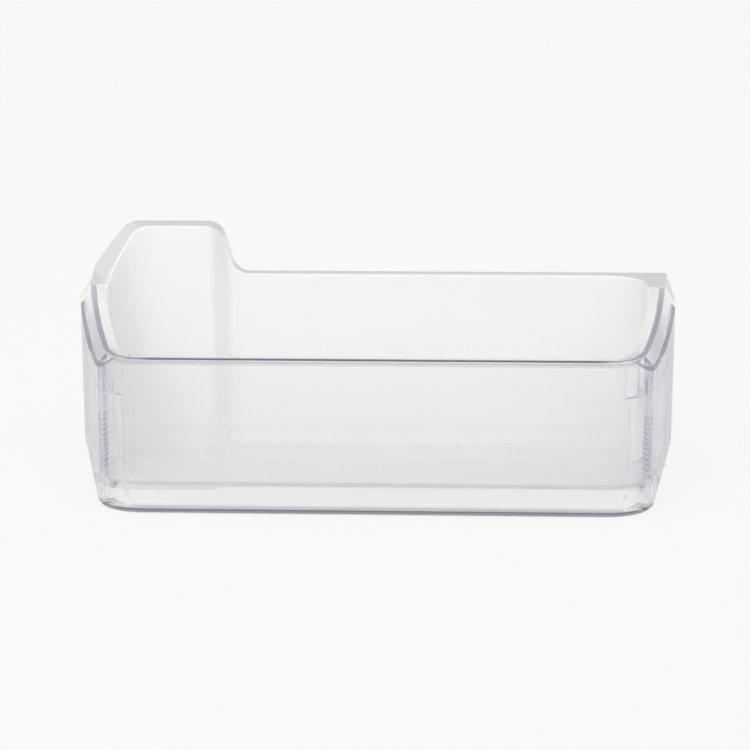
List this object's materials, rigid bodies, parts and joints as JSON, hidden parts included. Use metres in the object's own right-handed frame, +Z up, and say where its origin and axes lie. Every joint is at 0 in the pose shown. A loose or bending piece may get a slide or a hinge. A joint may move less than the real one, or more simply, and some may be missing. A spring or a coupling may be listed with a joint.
{
  "type": "fridge door shelf",
  "caption": "Refrigerator door shelf: white tray with a raised rear corner and channels that hang on a door's lugs, and a clear guard with flared sides seated on its front.",
  "frame": {"origin": "middle of the footprint, on the surface that the shelf stands on", "axes": "+X along the shelf, with the raised corner at -X; +Y from the clear front towards the door; +Z up"},
  "size_m": [0.377, 0.114, 0.1675],
  "materials": {
    "clear_plastic": "polished clear moulded plastic",
    "white_plastic": "glossy white moulded plastic"
  },
  "bodies": {
    "root": {"front_guard": "clear_plastic", "rear_tray": "white_plastic"}
  },
  "joints": []
}
